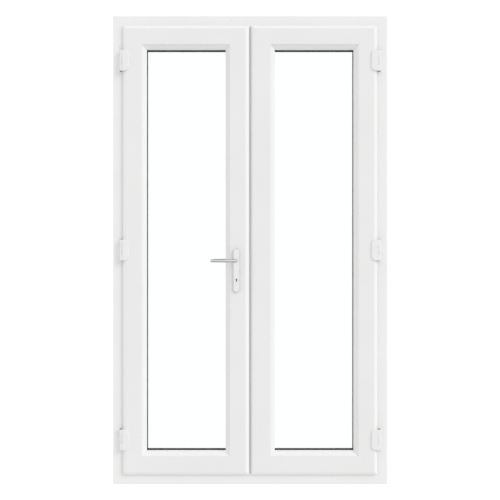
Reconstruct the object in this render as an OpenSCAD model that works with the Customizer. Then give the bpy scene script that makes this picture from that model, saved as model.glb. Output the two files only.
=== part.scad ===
// Inward opening double french doors with their outer frame.
// Frame: +Z up, -Y towards the room, origin at the middle of the threshold's underside.
// Profiles are drawn as [u, y]: u runs from a bar's outer edge towards the opening, y is the depth.

/* [Frame] */
// Width over the outer frame
frame_w = 1200; // [1100:10:1600]
// Height over the outer frame
frame_h = 2050; // [1950:10:2300]
// Depth of the outer frame, room face to outside face
frame_d = 70; // [68:1:80]
// Height of the frame bar up to its rebate face
frame_block = 53; // [50:1:60]
// How far the outside lip stands past the rebate face
frame_lip = 20; // [18:1:22]
// Thickness of the outside lip
frame_lip_t = 15; // [13:1:16]
// Outer wall of every hollow bar
wall = 2.8; // [2.4:0.1:3]
// Inner web of every hollow bar
web = 1.4; // [1:0.1:1.8]
// Wall of the steel inside the bars
steel_t = 1.5; // [1:0.25:2]
// Distance from the frame corners to the nearest fixing hole
fixing_inset = 200; // [150:10:250]
// Radius of the holes for the frame fixings
fixing_r = 5.25; // [4:0.25:6]

/* [Leaves] */
// Gap between the two leaves at the meeting line
meet_gap = 10; // [8:1:12]
// How far a leaf laps over the frame bar
lap = 8; // [7:0.5:10]
// How far a leaf stands in front of the frame on the room side
leaf_proud = 18; // [16:1:20]
// Depth of a leaf bar
leaf_d = 70; // [68:1:74]
// Width of a leaf bar from its edge to the bare glass
sash_w = 102.5; // [98:0.5:115]
// Width of the flange that laps over the frame
flange_w = 20; // [18:1:22]
// Gap for the seal behind the flange
flange_gap = 3.5; // [3:0.5:4]
// Width of the rounded bevel round a leaf
bevel_w = 15; // [10:1:18]
// Height of the rounded bevel round a leaf
bevel_h = 8; // [4:0.5:9]

/* [Glazing] */
// Width of a glazing bead as seen from the front
bead_w = 18; // [16:1:22]
// Depth that the bead slopes back over its width
bead_drop = 16; // [14:1:23]
// Step from the leaf face down to the bead
bead_step = 2; // [1:0.5:3]
// Thickness of one glass pane
pane_t = 4; // [3:0.5:4]
// Space between the two panes
cavity = 16; // [14:1:16]
// Depth of the gasket on each side of the glass
gasket_t = 3; // [2.5:0.5:4]
// Space between the glass edge and its rebate
edge_gap = 5; // [4:0.5:6]
// Thickness of the outside lip that holds the glass
glass_lip_t = 14; // [12:1:15]

/* [Hinges] */
// Height of each hinge
hinge_h = 92; // [80:2:110]
// Distance from the leaf's corners to the hinge centres
hinge_inset = 154; // [120:2:200]
// Outer radius of the hinge barrel
barrel_r = 7; // [6.5:0.25:7]
// Radius of the hinge pin
pin_r = 4; // [3:0.25:4.5]
// Width of the cover on the leaf
cover_w = 28; // [26:1:34]
// Corner radius of the cover
cover_corner = 20; // [12:1:22]
// Thickness of the cover
cover_t = 5.5; // [5:0.5:8]
// Rounding of the cover's front edge
cover_edge = 3.5; // [2:0.5:4]

/* [Handle] */
// Distance from the lock edge of the leaf body to the spindle
backset = 35; // [33:0.5:37]
// Height of the spindle over the threshold's underside
spindle_z = 979; // [920:1:1050]
// Distance from the spindle down to the lock cylinder
cylinder_drop = 85; // [85:1:92]
// Width of the handle plates
plate_w = 28; // [26:1:32]
// Distance from spindle or cylinder to the plate's end
plate_end = 52.5; // [50:0.5:60]
// Thickness of the handle plates
plate_t = 8.5; // [8:0.5:10]
// Rounding of the plates' front edge
plate_edge = 2.5; // [1.5:0.5:4]
// Wall of the hollow plates
plate_wall = 2.2; // [2:0.2:3]
// Radius of the lever's neck
neck_r = 8; // [7:0.25:8.5]
// Radius of the lever bar at the bend
lever_r = 7.5; // [6.5:0.25:7.5]
// Radius of the lever bar at its end
tip_r = 6.1; // [5:0.1:6.5]
// Distance from the leaf face to the middle of the lever bar
lever_out = 48; // [44:1:60]
// Reach of the lever from the spindle to its end
lever_reach = 111.5; // [100:0.5:130]
// Side of the square spindle
spindle_side = 8; // [7:1:8]

/* [Lock] */
// Travel of the drive rail for a quarter turn of the lever
throw = 18; // [16:1:18]
// Number of teeth of the follower
teeth = 14; // [14:1:16]
// Thickness of the follower and the rack
gear_t = 6; // [4:0.5:7]
// Distance from the leaf's top and bottom to the outer locking cams
cam_inset = 215; // [180:5:260]
// Distance from mid height to the inner locking cams
cam_spread = 305; // [250:5:360]
// Radius of the neck of a cam
cam_neck_r = 3; // [2.5:0.25:3]
// Radius of the head of a cam
cam_head_r = 5; // [4.5:0.25:5]
// Travel of the flush bolts
bolt_throw = 18; // [14:1:20]
// Radius of the flush bolts
bolt_r = 4; // [3:0.25:4.5]

/* [Hidden] */
$fn = 64;

// Clearances
fit = 0.25;
run = 0.05;
seal_gap = 0.3;
mitre_gap = 0.05;

// Depths, from the room side (negative) to the outside (positive)
frame_in = -frame_d / 2;
frame_out = frame_d / 2;
frame_lip_y = frame_out - frame_lip_t;
sash_in = frame_in - leaf_proud;
sash_out = sash_in + leaf_d;
flange_y = frame_in - flange_gap;
glass_lip_y = sash_out - glass_lip_t;
glass_out = glass_lip_y - gasket_t;
glass_in = glass_out - 2 * pane_t - cavity;
bead_back = glass_in - gasket_t;

// Leaf outline
frame_show = frame_block - lap;
leaf_w = (frame_w - 2 * frame_show - meet_gap) / 2;
leaf_h = frame_h - 2 * frame_show;
leaf_x = -(meet_gap + leaf_w) / 2;
mid_z = frame_h / 2;
bevel_slope = atan(bevel_h / bevel_w);
bevel_turn = 0.36 * bevel_slope;
bevel_r = norm([bevel_w, bevel_h]) / (2 * sin(bevel_turn));
bevel_steps = 4;
edge_r = 1.5;
frame_r = 3;
glass_rebate = sash_w - bead_w;
glass_edge = glass_rebate + edge_gap;

// Hardware groove in the edge of a leaf, and the edge itself on the meeting side
groove_w = 16;
groove_step = 3;
rail_channel = 12;
groove_depth = 12;
groove_y = flange_y + 13.5;
edge_x = -(meet_gap / 2 + flange_w);

// Steel chambers as [u0, y0, u1, y1], the walls left round them, and the steel's distance from the bars' ends
frame_core_side = 9;
frame_core_top = 8;
frame_core_in = 20.5;
frame_core_d = 20;
sash_core_side = 4;
sash_core_back = 12.5;
sash_core_gap = 2;
frame_core = [frame_core_side, frame_in + frame_core_in, frame_block - frame_core_top,
  frame_in + frame_core_in + frame_core_d];
sash_core = [flange_w + groove_depth + sash_core_side, flange_y + sash_core_gap,
  glass_rebate - sash_core_back, glass_out - sash_core_gap];
frame_steel_end = 5;
leaf_steel_end = 6;
fixing_y = (frame_core[1] + frame_core[3]) / 2;
fixing_rows = [fixing_inset, fixing_inset + (frame_h - 2 * fixing_inset) / 3,
  frame_h - fixing_inset - (frame_h - 2 * fixing_inset) / 3, frame_h - fixing_inset];

// Grooves and small features of the bars
back_groove = [6, 3];
back_groove_y = [frame_core[1] - 4.5, frame_core[3] + 6.5];
seal_u = frame_block + 12.5;
seal_w = 6;
seal_foot = [3, 3];
leaf_seal_u = 3;
leaf_seal_w = 5;
clip = [2.2, 3];
clip_y = bead_back - 7.5;
gasket_w = 6.5;
spacer_w = 12;
packer_l = 100;
drain_w = 42;
drain_slot = [28, 5];
drain_slot_z = 20;

// Hinges
axis_x = -(frame_w / 2 - frame_show) - barrel_r - 0.5;
leaf_plate_t = 3;
axis_y = sash_in - leaf_plate_t + barrel_r;
hinge_z = [frame_show + hinge_inset, mid_z, frame_h - frame_show - hinge_inset];
knuckle_gap = 0.5;
frame_knuckle = 34;
cap_t = 3;
cap_r = barrel_r - 1;
bracket_t = 3;
dowel_r = 4;
dowel_l = 16;
dowel_offset = 30;

// Handle, gearbox and lock
spindle_x = edge_x - backset;
cylinder_z = spindle_z - cylinder_drop;
leaf_mid_y = (sash_in + sash_out) / 2;
bend_r = 10;
faceplate_t = 2.7;
rail_t = 2.5;
rail_x = edge_x - faceplate_t - seal_gap;
case_x0 = spindle_x - 17;
case_x1 = rail_x - rail_t - 0.5;
case_w = 15.6;
case_wall = 1.5;
case_below = 28;
case_above = 31;
case_z0 = cylinder_z - case_below;
case_z1 = spindle_z + case_above;
plate_screw_off = 42;
screw_r = 2.4;
screw_gap = 0.6;
hub_gap = 2;
cylinder_gap = 1;
screw_zs = [spindle_z + plate_screw_off, cylinder_z - plate_screw_off];
rail_inset = 95;
rail_w = 10;
faceplate_end = 20;
rail_ends = [frame_show + rail_inset, frame_h - frame_show - rail_inset];
cam_heights = [frame_show + cam_inset, mid_z - cam_spread, mid_z + cam_spread,
  frame_h - frame_show - cam_inset];
cam_head_t = 2.5;
cam_neck_l = 6.3;
hub_r = 8;
rail_arm = [spindle_z - throw, spindle_z + 4];

// Follower and rack: a quarter turn moves the rack by the throw
pitch_r = throw * 2 / PI;
modul = 2 * pitch_r / teeth;
pressure = 20;
addendum = 0.8 * modul;
dedendum = modul;
backlash = 0.2;
base_r = pitch_r * cos(pressure);
rack_pitch = PI * modul;
rack_x = spindle_x + pitch_r;
rack_z = [spindle_z - throw - 9, spindle_z + 9];

// Lock cylinder
cyl_r = 8.5;
cyl_leg_w = 10;
cyl_h = 33;
cyl_proud = 2;
cyl_y = [sash_in - plate_t - cyl_proud, sash_out + plate_t + cyl_proud];
cam_gap = 10;
plug_r = 7.2;
cam_r = 15;

// Meeting line
mullion_x = [-(meet_gap / 2 + lap), meet_gap / 2 + flange_w];
mullion_gap = 3;
mullion_cap_t = 3;
mullion_z = [frame_block + mullion_gap, frame_h - frame_block - mullion_gap];
cover_lap = [8, 20];
cover_z = [frame_block + frame_lip + 2, frame_h - frame_block - frame_lip - 2];
keep_t = 2;
keep_below = 12;
keep_above = 16;
keep_hook_x = [edge_x + 4.5, edge_x + 6];

// Flush bolts
bolt_case = [22, 14, 150];
bolt_x = mullion_x[0] + bolt_case[0] / 2;
bolt_y = frame_core[1] + 5.5;
bolt_l = 140;
keep_plate = [40, 16, 2.5];
keep_depth = bolt_throw + mullion_gap + 3;

// Colours
white = "whitesmoke";
steel = "silver";
zinc = "gainsboro";
black = [0.12, 0.12, 0.12];

// Section helpers
module rect(r) translate([r[0], r[1]]) square([r[2] - r[0], r[3] - r[1]]);

function shrink(r, d) = [r[0] + d, r[1] + d, r[2] - d, r[3] - d];

// Points of an arc about a centre, from one angle to another
function arc(c, r, a0, a1, steps) = [for (i = [0 : steps]) let (a = a0 + (a1 - a0) * i / steps)
  [c[0] + r * cos(a), c[1] + r * sin(a)]];

// The bevel from the leaf's edge to its face at y = 0, moved towards the room by a gap
function bevel_curve(gap) = let (a0 = bevel_slope - bevel_turn, a1 = bevel_slope + bevel_turn)
  arc([bevel_w + bevel_r * sin(a0), bevel_r * cos(a0) - gap], bevel_r, 270 - a1, 270 - a0, bevel_steps);

module tube_section(r) {
  difference() {
    rect(shrink(r, fit));
    rect(shrink(r, fit + steel_t));
  }
}

module frame_section() {
  y_a = frame_core[1] - web;
  y_b = frame_in + (y_a - frame_in) / 2;
  difference() {
    polygon(concat(arc([frame_r, frame_in + frame_r], frame_r, 180, 270, 4), [[frame_block, frame_in],
      [frame_block, frame_core[3] + 2], [frame_block - 3, frame_core[3] + 4],
      [frame_block - 3, frame_lip_y - 2], [frame_block, frame_lip_y], [frame_block + frame_lip, frame_lip_y],
      [frame_block + frame_lip, frame_lip_y + 5], [frame_block + frame_lip - 4, frame_out]],
      arc([frame_r, frame_out - frame_r], frame_r, 90, 180, 4)));
    rect([wall, frame_in + wall, frame_block - wall, y_b - web / 2]);
    rect([wall + back_groove[1], y_b + web / 2, frame_block - wall, y_a]);
    rect(frame_core);
    rect([wall, frame_core[1], frame_core[0] - web, frame_core[3]]);
    rect([frame_core[2] + web, frame_core[1], frame_block - wall, frame_core[3] - 1]);
    rect([wall + back_groove[1], frame_core[3] + web, frame_block - wall - 3.2, frame_lip_y + 1]);
    rect([wall, frame_lip_y + 1 + web, frame_block + frame_lip - 11, frame_out - wall]);
    for (y = back_groove_y)
      translate([-0.1, y - back_groove[0] / 2]) square([back_groove[1] + 0.1, back_groove[0]]);
    rect([seal_u + 1.5, frame_lip_y - 0.1, seal_u + 1.5 + seal_foot[0], frame_lip_y + seal_foot[1] + 0.5]);
  }
}

module sash_section() {
  inner_y = flange_y - wall;
  slope = bevel_h / bevel_w;
  skin_y = sash_in + wall / cos(bevel_slope);
  difference() {
    polygon(concat([[0, flange_y]], [for (p = bevel_curve(0)) [p[0], sash_in + p[1]]],
      arc([glass_rebate - edge_r, sash_in + edge_r], edge_r, 270, 360, 3), [[glass_rebate, glass_lip_y],
      [sash_w, glass_lip_y], [sash_w, glass_lip_y + 1.5], [sash_w - 8.5, sash_out], [flange_w, sash_out],
      [flange_w, flange_y]]));
    polygon([[wall, skin_y + slope * (bevel_w - wall)], [bevel_w, skin_y], [flange_w + wall - web, skin_y],
      [flange_w + wall - web, inner_y], [wall, inner_y]]);
    rect([flange_w + wall, sash_in + wall, glass_rebate - wall, sash_core[1] - web]);
    rect(sash_core);
    rect([sash_core[2] + web, sash_core[1], glass_rebate - 6, sash_core[3]]);
    rect([flange_w + wall, groove_y + groove_w / 2 + wall, sash_core[0] - web, sash_core[3]]);
    rect([flange_w + wall, sash_core[3] + web, glass_rebate - wall, glass_lip_y + 2]);
    rect([flange_w + wall, glass_lip_y + 2 + web, sash_w - 14, sash_out - wall]);
    translate([flange_w - 0.1, groove_y - groove_w / 2]) square([groove_step + 0.1, groove_w]);
    translate([flange_w, groove_y - rail_channel / 2]) square([groove_depth, rail_channel]);
    translate([glass_rebate - clip[0] - fit, clip_y - fit]) square([clip[0] + 1, clip[1] + 2 * fit]);
  }
}

module bead_section() {
  slope = bead_drop / bead_w;
  skin = 1.8;
  top_y = sash_in + bead_step;
  inner_top = top_y + skin + skin * slope * 0.85;
  difference() {
    union() {
      polygon([[glass_rebate, top_y], [sash_w, top_y + bead_drop], [sash_w, bead_back],
        [glass_rebate, bead_back]]);
      translate([glass_rebate - clip[0], clip_y]) square([clip[0] + 0.5, clip[1]]);
    }
    polygon([[glass_rebate + skin, inner_top + skin], [glass_rebate + skin, bead_back - skin],
      [sash_w - 5, bead_back - skin], [sash_w - 5, inner_top + (bead_w - 5) * slope]]);
  }
}

// A bar of the section given as child, with both ends cut at 45 degrees
module mitred_bar(len, reach) {
  intersection() {
    rotate([0, -90, 0]) linear_extrude(len, center = true) children();
    rotate([90, 0, 0]) linear_extrude(6 * frame_d, center = true)
      polygon([[-len / 2, 0], [len / 2, 0], [len / 2 - reach, reach], [-len / 2 + reach, reach]]);
  }
}

module square_bar(len) rotate([0, -90, 0]) linear_extrude(len, center = true) children();

// Places a bar on side k of a w by h rectangle: 0 bottom, 1 left, 2 top, 3 right
module on_side(k, w, h) rotate([0, 90 * k, 0]) translate([0, 0, -(k % 2 == 0 ? h : w) / 2]) children();

module ring(w, h, u0, u1, y0, y1) {
  translate([0, y1, 0]) rotate([90, 0, 0]) linear_extrude(y1 - y0) difference() {
    square([w - 2 * u0, h - 2 * u0], center = true);
    square([w - 2 * u1, h - 2 * u1], center = true);
  }
}

module both_sides() for (s = [0, 1]) mirror([s, 0, 0]) children();

// A solid along y between two depths, from a section drawn in x and z
module through(y0, y1) translate([0, y1, 0]) rotate([90, 0, 0]) linear_extrude(y1 - y0) children();

module rod_y(r, y0, y1) translate([0, y1, 0]) rotate([90, 0, 0]) cylinder(r = r, h = y1 - y0);

// Outer frame
module frame_bar(k) {
  len = k % 2 == 0 ? frame_w : frame_h;
  color(white) translate([0, 0, mid_z]) on_side(k, frame_w, frame_h)
    mitred_bar(len, frame_block + frame_lip + 1) frame_section();
}

module bolt_keep_pocket() {
  translate([bolt_x, bolt_y, 0]) {
    translate([-keep_plate[0] / 2 - fit, -keep_plate[1] / 2 - fit, -keep_plate[2]])
      cube([keep_plate[0] + 2 * fit, keep_plate[1] + 2 * fit, keep_plate[2] + 1]);
    translate([0, 0, -keep_depth - fit]) cylinder(r = bolt_r + 2.2 + fit, h = keep_depth + 1);
  }
}

module frame_head() {
  color(white) difference() {
    frame_bar(2);
    translate([0, 0, frame_h - frame_block]) mirror([0, 0, 1]) bolt_keep_pocket();
  }
}

module frame_threshold() {
  color(white) difference() {
    frame_bar(0);
    translate([0, 0, frame_block]) bolt_keep_pocket();
    for (x = [-1, 0, 1]) translate([x * frame_w / 3 - drain_slot[0] / 2, frame_out - wall - 1, drain_slot_z])
      cube([drain_slot[0], wall + 2, drain_slot[1]]);
  }
}

module fixing_holes(r) {
  for (z = fixing_rows) translate([-frame_w / 2 - 1, fixing_y, z]) rotate([0, 90, 0])
    cylinder(r = r, h = frame_block + 2);
}

module jamb() {
  difference() {
    frame_bar(1);
    fixing_holes(fixing_r);
    for (z = hinge_z, d = [-1, 1]) translate([axis_x, 0, z + d * dowel_offset])
      rod_y(dowel_r + 0.1, frame_in - 1, frame_in + dowel_l + 0.5);
  }
}

module frame_left_jamb() color(white) jamb();

module frame_right_jamb() color(white) mirror([1, 0, 0]) jamb();

module frame_reinforcement() {
  color(zinc) difference() {
    for (k = [0 : 3]) translate([0, 0, mid_z]) on_side(k, frame_w, frame_h)
      square_bar((k % 2 == 0 ? frame_w : frame_h) - 2 * (frame_block + frame_steel_end))
        tube_section(frame_core);
    both_sides() fixing_holes(fixing_r + 0.75);
    for (m = [0, 1]) translate([0, 0, mid_z]) mirror([0, 0, m])
      translate([bolt_x, bolt_y, mid_z - frame_block - 4]) cylinder(r = bolt_r + 3, h = bolt_throw + 12);
  }
}

module frame_seal() {
  color(black) translate([0, 0, mid_z]) {
    ring(frame_w, frame_h, seal_u, seal_u + seal_w, sash_out + seal_gap, frame_lip_y);
    ring(frame_w, frame_h, seal_u + 1.5 + run, seal_u + 1.5 + seal_foot[0] - run,
      frame_lip_y - 0.5, frame_lip_y + seal_foot[1]);
  }
}

module drain_caps() {
  slot_z = drain_slot_z + drain_slot[1] / 2;
  color(white) for (x = [-1, 0, 1]) translate([x * frame_w / 3, frame_out, slot_z]) difference() {
    rotate([90, 0, 90]) linear_extrude(drain_w, center = true)
      polygon([[0, -8], [5, -8], [5, 1], [2, 8], [0, 8]]);
    translate([-drain_slot[0] / 2 - 1, -0.1, -9]) cube([drain_slot[0] + 2, 3.6, 13]);
  }
}

// Hinges, drawn at the left of the frame
module knuckle(z0, z1) {
  translate([axis_x, axis_y, z0]) cylinder(r = barrel_r, h = z1 - z0);
}

module hinge_brackets() {
  color(white) both_sides() for (z = hinge_z) difference() {
    union() {
      knuckle(z - frame_knuckle / 2, z + frame_knuckle / 2);
      translate([axis_x - 4.5, axis_y, z - frame_knuckle / 2])
        cube([9, frame_in - axis_y, frame_knuckle]);
      translate([axis_x - barrel_r, frame_in - bracket_t, z - hinge_h / 2])
        cube([2 * barrel_r, bracket_t, hinge_h]);
      for (d = [-1, 1]) translate([axis_x, 0, z + d * dowel_offset])
        rod_y(dowel_r, frame_in - 0.5, frame_in + dowel_l);
    }
    translate([axis_x, axis_y, z - hinge_h / 2]) cylinder(r = pin_r + run, h = hinge_h);
  }
}

module hinge_pins() {
  color(steel) both_sides() for (z = hinge_z)
    translate([axis_x, axis_y, z - hinge_h / 2 + cap_t]) cylinder(r = pin_r, h = hinge_h - 2 * cap_t);
}

module hinge_pin_caps() {
  color(black) both_sides() for (z = hinge_z, m = [0, 1])
    translate([axis_x, axis_y, z]) mirror([0, 0, m])
      translate([0, 0, hinge_h / 2 - cap_t]) cylinder(r = cap_r, h = cap_t);
}

module hinge_leaves() {
  reach = -(frame_w / 2 - frame_show) + cover_w - 3;
  half = hinge_h / 2;
  color(white) for (z = hinge_z) difference() {
    union() {
      for (m = [0, 1]) translate([0, 0, z]) mirror([0, 0, m]) {
        knuckle(frame_knuckle / 2 + knuckle_gap, half);
        translate([axis_x, sash_in - leaf_plate_t, frame_knuckle / 2 + knuckle_gap])
          cube([barrel_r + 1, leaf_plate_t, half - frame_knuckle / 2 - knuckle_gap]);
      }
      translate([axis_x + barrel_r + 0.5, sash_in - leaf_plate_t, z - half + cover_edge])
        cube([reach - axis_x - barrel_r - 0.5, leaf_plate_t, hinge_h - 2 * cover_edge]);
      translate([-(frame_w / 2 - frame_show), sash_in, z - half + cover_edge])
        linear_extrude(hinge_h - 2 * cover_edge) intersection() {
          polygon(concat([[bevel_w, -1], [0, -1]], bevel_curve(fit)));
          rect([1, -1, bevel_w, bevel_h]);
        }
    }
    translate([axis_x, axis_y, z - half]) cylinder(r = pin_r + run, h = hinge_h);
    for (m = [0, 1]) translate([axis_x, axis_y, z]) mirror([0, 0, m])
      translate([0, 0, half - cap_t - run]) cylinder(r = cap_r + seal_gap, h = cap_t + 1);
  }
}

// Section of a round-edged plate, from its middle line outwards
module edge_section(half, t, e) {
  square([half - e, t]);
  square([half, t - e]);
  translate([half - e, t - e]) intersection() {
    circle(e);
    square(e);
  }
}

// A D-shaped plate lying on z = 0: straight side on the y axis, round-edged on the others
module d_plate(w, h, corner, t, e) {
  for (m = [0, 1]) mirror([0, m, 0]) {
    translate([w - corner, h / 2 - corner, 0]) rotate_extrude(angle = 90) edge_section(corner, t, e);
    translate([w - corner, 0, 0]) rotate([90, 0, 0]) mirror([0, 0, 1])
      linear_extrude(h / 2 - corner) edge_section(corner, t, e);
    translate([0, h / 2 - corner, 0]) rotate([90, 0, 90])
      linear_extrude(w - corner) edge_section(corner, t, e);
    cube([w - corner, h / 2 - corner, t]);
  }
}

module hinge_covers() {
  x0 = -(frame_w / 2 - frame_show) + 0.5;
  inner = cover_w - 2.5;
  color(white) for (z = hinge_z) translate([x0, sash_in, z]) difference() {
    rotate([90, 0, 0]) d_plate(cover_w - 0.5, hinge_h, cover_corner, cover_t, cover_edge);
    translate([-1, -leaf_plate_t - fit, -hinge_h / 2 + cover_edge - fit])
      cube([inner - fit + 0.5, leaf_plate_t + fit + 1, hinge_h - 2 * cover_edge + 2 * fit]);
  }
}

// Leaf parts, drawn for the active leaf at the left and mirrored for the passive one
module leaf_bar(k) {
  len = k % 2 == 0 ? leaf_w : leaf_h;
  color(white) translate([leaf_x, 0, mid_z]) on_side(k, leaf_w, leaf_h)
    mitred_bar(len, sash_w + 1) sash_section();
}

module leaf_beads() {
  color(white) translate([leaf_x, 0, mid_z]) for (k = [0 : 3]) on_side(k, leaf_w, leaf_h)
    intersection() {
      len = k % 2 == 0 ? leaf_w : leaf_h;
      square_bar(len) bead_section();
      mitred_bar(len - 2 * mitre_gap, sash_w + 1) rect([glass_rebate - 5, sash_in, sash_w + 1, glass_out]);
    }
}

module leaf_steel() {
  translate([leaf_x, 0, mid_z]) for (k = [0 : 3]) on_side(k, leaf_w, leaf_h)
    square_bar((k % 2 == 0 ? leaf_w : leaf_h) - 2 * (sash_core[2] + leaf_steel_end))
      tube_section(sash_core);
}

module leaf_gaskets() {
  color(black) translate([leaf_x, 0, mid_z]) {
    ring(leaf_w, leaf_h, sash_w - gasket_w, sash_w, bead_back, glass_in);
    ring(leaf_w, leaf_h, sash_w - gasket_w, sash_w, glass_out, glass_lip_y);
  }
}

module leaf_panes() {
  color([0.85, 0.93, 0.95, 0.35]) translate([leaf_x, 0, mid_z]) for (y = [glass_in, glass_out - pane_t])
    through(y, y + pane_t) square([leaf_w - 2 * glass_edge, leaf_h - 2 * glass_edge], center = true);
}

module leaf_spacer() {
  color(black) translate([leaf_x, 0, mid_z])
    ring(leaf_w, leaf_h, glass_edge, glass_edge + spacer_w, glass_in + pane_t, glass_out - pane_t);
}

module leaf_packers() {
  color("steelblue") translate([leaf_x, 0, mid_z]) for (k = [0 : 3], s = [-1, 1]) {
    len = k % 2 == 0 ? leaf_w : leaf_h;
    on_side(k, leaf_w, leaf_h) translate([s * (len / 2 - glass_edge - packer_l), 0, 0])
      square_bar(packer_l) rect([glass_rebate, glass_in - 1, glass_edge, glass_out + 1]);
  }
}

module leaf_seal() {
  color(black) translate([leaf_x, 0, mid_z])
    ring(leaf_w, leaf_h, leaf_seal_u, leaf_seal_u + leaf_seal_w, flange_y, frame_in - seal_gap);
}

module euro_shape(grow) {
  circle(cyl_r + grow);
  translate([-cyl_leg_w / 2 - grow, -(cyl_h - cyl_r) + cyl_leg_w / 2])
    square([cyl_leg_w + 2 * grow, cyl_h - cyl_r - cyl_leg_w / 2]);
  translate([0, -(cyl_h - cyl_r) + cyl_leg_w / 2]) circle(cyl_leg_w / 2 + grow);
}

// Room for the gearbox, spindle, cylinder and handle screws in the lock stile
module lock_pocket() {
  translate([case_x0 - fit, groove_y - case_w / 2 - fit, case_z0 - fit])
    cube([edge_x - case_x0 + 2, case_w + 2 * fit, case_z1 - case_z0 + 2 * fit]);
  translate([spindle_x, 0, spindle_z]) rod_y(hub_r + hub_gap, sash_in - 1, sash_out + 1);
  translate([spindle_x, 0, cylinder_z]) through(sash_in - 1, sash_out + 1) euro_shape(cylinder_gap);
  for (z = screw_zs) translate([spindle_x, 0, z]) rod_y(screw_r + screw_gap, sash_in - 1, sash_out + 1);
}

module active_top_rail() leaf_bar(2);
module active_bottom_rail() leaf_bar(0);
module active_hinge_stile() leaf_bar(1);
module active_lock_stile() color(white) difference() { leaf_bar(3); lock_pocket(); }
module active_reinforcement() color(zinc) difference() { leaf_steel(); lock_pocket(); }
module active_beads() leaf_beads();
module active_glazing_gaskets() leaf_gaskets();
module active_panes() leaf_panes();
module active_spacer() leaf_spacer();
module active_packers() leaf_packers();
module active_seal() leaf_seal();
module active_hinge_leaves() hinge_leaves();
module active_hinge_covers() hinge_covers();

module passive_top_rail() mirror([1, 0, 0]) leaf_bar(2);
module passive_bottom_rail() mirror([1, 0, 0]) leaf_bar(0);
module passive_hinge_stile() mirror([1, 0, 0]) leaf_bar(1);
module passive_meeting_stile() mirror([1, 0, 0]) leaf_bar(3);
module passive_reinforcement() color(zinc) mirror([1, 0, 0]) leaf_steel();
module passive_beads() mirror([1, 0, 0]) leaf_beads();
module passive_glazing_gaskets() mirror([1, 0, 0]) leaf_gaskets();
module passive_panes() mirror([1, 0, 0]) leaf_panes();
module passive_spacer() mirror([1, 0, 0]) leaf_spacer();
module passive_packers() mirror([1, 0, 0]) leaf_packers();
module passive_hinge_leaves() mirror([1, 0, 0]) hinge_leaves();
module passive_hinge_covers() mirror([1, 0, 0]) hinge_covers();

// The leaf's own seal, and the strip that seals the cover against the active leaf
module passive_seal() {
  mirror([1, 0, 0]) leaf_seal();
  color(black) translate([edge_x - cover_lap[0] + 2, sash_out + seal_gap, cover_z[0]])
    cube([5, frame_lip_y - sash_out - seal_gap, cover_z[1] - cover_z[0]]);
}

// Lock parts in the active leaf
module lock_faceplate() {
  color(steel) difference() {
    translate([edge_x - faceplate_t, groove_y - groove_w / 2 + run, rail_ends[0] - faceplate_end])
      cube([faceplate_t, groove_w - 2 * run, rail_ends[1] - rail_ends[0] + 2 * faceplate_end]);
    for (z = cam_heights) translate([edge_x - faceplate_t - 1, groove_y, z]) rotate([0, 90, 0])
      linear_extrude(faceplate_t + 2) {
        for (d = [0, -throw]) translate([d, 0]) circle(cam_neck_r + 0.5);
        translate([-throw, -cam_neck_r - 0.5]) square([throw, 2 * cam_neck_r + 1]);
      }
  }
}

module gearbox_case() {
  y0 = groove_y - case_w / 2;
  arm_z = [rail_arm[0] - 1, rail_arm[1] + throw + 1];
  color(steel) difference() {
    translate([case_x0, y0, case_z0]) cube([case_x1 - case_x0, case_w, case_z1 - case_z0]);
    translate([case_x0 + case_wall, y0 + case_wall, case_z0 + case_wall])
      cube([case_x1 - case_x0 - 2 * case_wall, case_w - 2 * case_wall, case_z1 - case_z0 - 2 * case_wall]);
    translate([case_x1 - case_wall - 1, groove_y - gear_t / 2 - 0.5, arm_z[0]])
      cube([case_wall + 2, gear_t + 1, arm_z[1] - arm_z[0]]);
    translate([spindle_x, 0, spindle_z]) rod_y(hub_r + run, y0 - 1, y0 + case_w + 1);
    translate([spindle_x, 0, cylinder_z]) through(y0 - 1, y0 + case_w + 1) euro_shape(fit);
  }
}

module lock_cylinder() {
  color(steel) translate([spindle_x, 0, cylinder_z]) difference() {
    through(cyl_y[0], cyl_y[1]) euro_shape(0);
    rod_y(plug_r + run, cyl_y[0] - 1, cyl_y[1] + 1);
    translate([0, groove_y + cam_gap / 2, 0]) rotate([90, 0, 0]) cylinder(r = cam_r + 0.8, h = cam_gap);
  }
}

module stadium_plate(w, len, t, e) {
  half = w / 2;
  for (m = [0, 1]) mirror([0, m, 0]) {
    translate([0, len / 2 - half, 0]) rotate_extrude(angle = 180) edge_section(half, t, e);
    for (n = [0, 1]) mirror([n, 0, 0]) rotate([90, 0, 0]) mirror([0, 0, 1])
      linear_extrude(len / 2 - half) edge_section(half, t, e);
  }
}

// A hollow handle plate with its back on y = 0, standing out towards -y
module handle_plate() {
  len = cylinder_drop + 2 * plate_end;
  mid = spindle_z - cylinder_drop / 2;
  difference() {
    union() {
      translate([spindle_x, 0, mid]) rotate([90, 0, 0]) difference() {
        stadium_plate(plate_w, len, plate_t, plate_edge);
        translate([0, 0, -1]) stadium_plate(plate_w - 2 * plate_wall, len - 2 * plate_wall,
          plate_t - plate_wall + 1, 0.5);
      }
      translate([spindle_x, 0, spindle_z]) rod_y(neck_r + 3, -plate_t + 1, -1.8);
    }
    translate([spindle_x, 0, spindle_z]) rod_y(neck_r + run, -plate_t - 1, 1);
    translate([spindle_x, 0, cylinder_z]) through(-plate_t - 1, 1) euro_shape(fit);
  }
}

module inner_handle_plate() color(zinc) translate([0, sash_in, 0]) handle_plate();

module outer_handle_plate() {
  color(zinc) translate([0, sash_out, 0]) mirror([0, 1, 0]) {
    handle_plate();
    for (z = screw_zs) translate([spindle_x, 0, z]) difference() {
      rod_y(screw_r + 2.2, -plate_t + 1, 0);
      rod_y(screw_r + run, -5, 1);
    }
  }
}

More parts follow.
